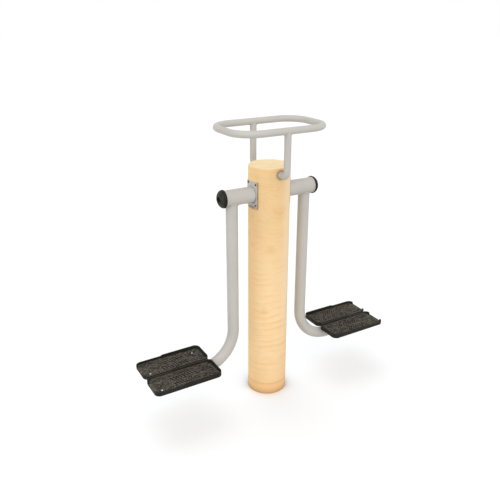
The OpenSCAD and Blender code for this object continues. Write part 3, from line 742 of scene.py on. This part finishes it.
def add_rounded(ending, slot, edge):
    """Puts a copy with rounded edges in the place of every CAD node whose name ends so."""
    crease = math.radians(40)
    for side in SIDES:
        for node in [n for n in nodes if n.startswith(side + "_") and n.endswith(ending)]:
            piece = add_piece(node + "_rounded", moulded_copy(node, edge), body_of(node), slot)
            piece.data.set_sharp_from_angle(angle=crease)
            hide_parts(node)


def add_rounded_pieces():
    add_rounded("_tray", "tray_plastic", 0.0009)
    add_rounded("_flange", "coated_steel", 0.0008)
    add_rounded("_sleeve", "coated_steel", 0.0007)
    add_rounded("_crossbar", "coated_steel", 0.0007)
    add_rounded("_end_cap", "black_plastic", 0.0006)
    add_rounded("_flange_screws", "black_steel", 0.0004)


# ---------------------------------------------------------------- stage, lamps and camera

def background_rays(graph):
    """1 for what the camera, a reflection or glass sees, 0 for the light that falls on things."""
    rays = graph.node("LightPath").outputs
    seen = graph.larger(rays["Is Camera Ray"], rays["Is Glossy Ray"])
    return graph.larger(seen, rays["Is Transmission Ray"])


def make_floor_material():
    """White that keeps the object's shadow, with painted shade round the post's foot, warm in front as
    painted light off the wood and grey at the sides. From below it isn't there.
    """
    albedo, seen_lift, dim_lift = 0.22, 0.680, 0.44
    lift_tint = (1.030, 1.0, 0.985, 1.0)
    painted_bounce_tint, grey_tint = (0.93, 0.58, 0.28, 1.0), (0.50, 0.46, 0.42, 1.0)
    contact_depth, contact_w = 0.62, 0.014
    side_depth, side_w = 0.13, 0.042
    material = bpy.data.materials.new("studio_floor")
    material.use_nodes = True
    graph = Graph(material.node_tree)
    material.node_tree.nodes.clear()
    place = graph.node("TexCoord").outputs["Object"]
    from_foot = graph.minus(graph.length(place), POST_R)
    in_front = graph.along(graph.vector("NORMALIZE", place)["Vector"], FRONT)
    ahead = graph.step(in_front, 0.15, 0.75)
    # Painted contact shade round the foot, and a wider painted shade at the sides and back.
    contact = graph.maths("EXPONENT", graph.times(from_foot, -1.0 / contact_w))
    wide = graph.maths("EXPONENT", graph.times(from_foot, -1.0 / side_w))
    tone = graph.glaze(WHITE, graph.mix(ahead, grey_tint, painted_bounce_tint), contact_depth, contact)
    tone = graph.glaze(tone, BLACK, side_depth, wide, graph.inverse(ahead))

    level = graph.node("CombineColor", {0: albedo, 1: albedo, 2: albedo}).outputs[0]
    matt = graph.node("BsdfDiffuse", {"Color": graph.mix(1.0, level, tone, "MULTIPLY")}).outputs[0]
    lift = graph.spread(background_rays(graph), dim_lift, seen_lift)
    seen_tone = graph.mix(1.0, tone, lift_tint, "MULTIPLY")
    glow = graph.node("Emission", {"Color": seen_tone, "Strength": lift}).outputs[0]
    top = graph.node("AddShader", {0: matt, 1: glow}).outputs[0]
    clear = graph.node("BsdfTransparent").outputs[0]
    under = graph.node("NewGeometry").outputs["Backfacing"]
    both = graph.node("MixShader", {0: under, 1: top, 2: clear}).outputs[0]
    graph.node("OutputMaterial", {"Surface": both})
    return material


def make_floor():
    """A wide floor, a little below the ground and open under the post."""
    reach, hidden_r, drop, segments = 60.0, 0.090, 0.0005, 96
    shape = bmesh.new()
    for radius in (reach, hidden_r):
        bmesh.ops.create_circle(shape, segments=segments, radius=radius)
    bmesh.ops.bridge_loops(shape, edges=shape.edges[:])
    for face in shape.faces:
        face.normal_update()
        if face.normal.z < 0:
            face.normal_flip()
    mesh = bpy.data.meshes.new("studio_floor")
    shape.to_mesh(mesh)
    shape.free()
    mesh.materials.append(make_floor_material())
    floor = bpy.data.objects.new("studio_floor", mesh)
    bpy.context.scene.collection.objects.link(floor)
    floor.location.z = -drop
    return floor


def make_world():
    """A soft white dome, brighter overhead, that reads as plain white where it is seen."""
    low, high = 0.46, 0.72
    dome_from, dome_to = -0.1, 0.9
    world = bpy.data.worlds.new("studio_dome")
    bpy.context.scene.world = world
    world.use_nodes = True
    graph = Graph(world.node_tree)
    world.node_tree.nodes.clear()
    rise = graph.part(graph.node("TexCoord").outputs["Generated"], "Z")
    dome = graph.spread(rise, low, high, dome_from, dome_to)
    seen = background_rays(graph)
    strength = graph.add(graph.times(dome, graph.inverse(seen)), seen)
    sky = graph.node("Background", {"Color": WHITE, "Strength": strength}).outputs[0]
    graph.node("OutputWorld", {"Surface": sky})


def add_sun(name, strength, spread, azimuth, elevation):
    """A soft lamp far away. Azimuth 0 shines from the front, along +Y, and 90 from the right."""
    light = bpy.data.lights.new(name, "SUN")
    light.energy = strength
    light.angle = math.radians(spread)
    lamp = bpy.data.objects.new(name, light)
    bpy.context.scene.collection.objects.link(lamp)
    a, e = math.radians(azimuth), math.radians(elevation)
    back = Vector((math.sin(a) * math.cos(e), -math.cos(a) * math.cos(e), math.sin(e)))
    lamp.rotation_mode = "QUATERNION"
    lamp.rotation_quaternion = back.to_track_quat("Z", "Y")
    lamp.location = back * 5
    return lamp


def add_lamps(floor):
    """Three lamps for the object and one from behind that only throws the shadow on the floor."""
    add_sun("key_lamp", strength=1.16, spread=80, azimuth=-12, elevation=38)
    add_sun("side_lamp", strength=0.72, spread=70, azimuth=-82, elevation=30)
    add_sun("right_lamp", strength=0.26, spread=70, azimuth=62, elevation=28)
    shadow_lamp = add_sun("shadow_lamp", strength=2.50, spread=46, azimuth=176, elevation=62)
    shadow_lamp.data.color = (0.80, 1.00, 1.12)
    lit_by_it = bpy.data.collections.new("lit_by_shadow_lamp")
    lit_by_it.objects.link(floor)
    shadow_lamp.light_linking.receiver_collection = lit_by_it


def make_camera():
    """The photograph's viewpoint: above and in front of the left tray pair."""
    tilt, turn = math.radians(67.879), math.radians(-30.129)
    lens = bpy.data.cameras.new("camera")
    lens.sensor_width = 36.0
    lens.lens = 41.076
    lens.clip_end = 200.0
    camera = bpy.data.objects.new("camera", lens)
    bpy.context.scene.collection.objects.link(camera)
    camera.location = (-1.38975, -2.21456, 1.84250)
    camera.rotation_euler = (tilt, 0.0, turn)
    bpy.context.scene.camera = camera


def build():
    make_camera()
    dress_cad_nodes()
    add_arm_welds()
    add_loop_welds()
    add_rounded_pieces()
    floor = make_floor()
    make_world()
    add_lamps(floor)
    bpy.context.scene.view_settings.view_transform = "Standard"


build()
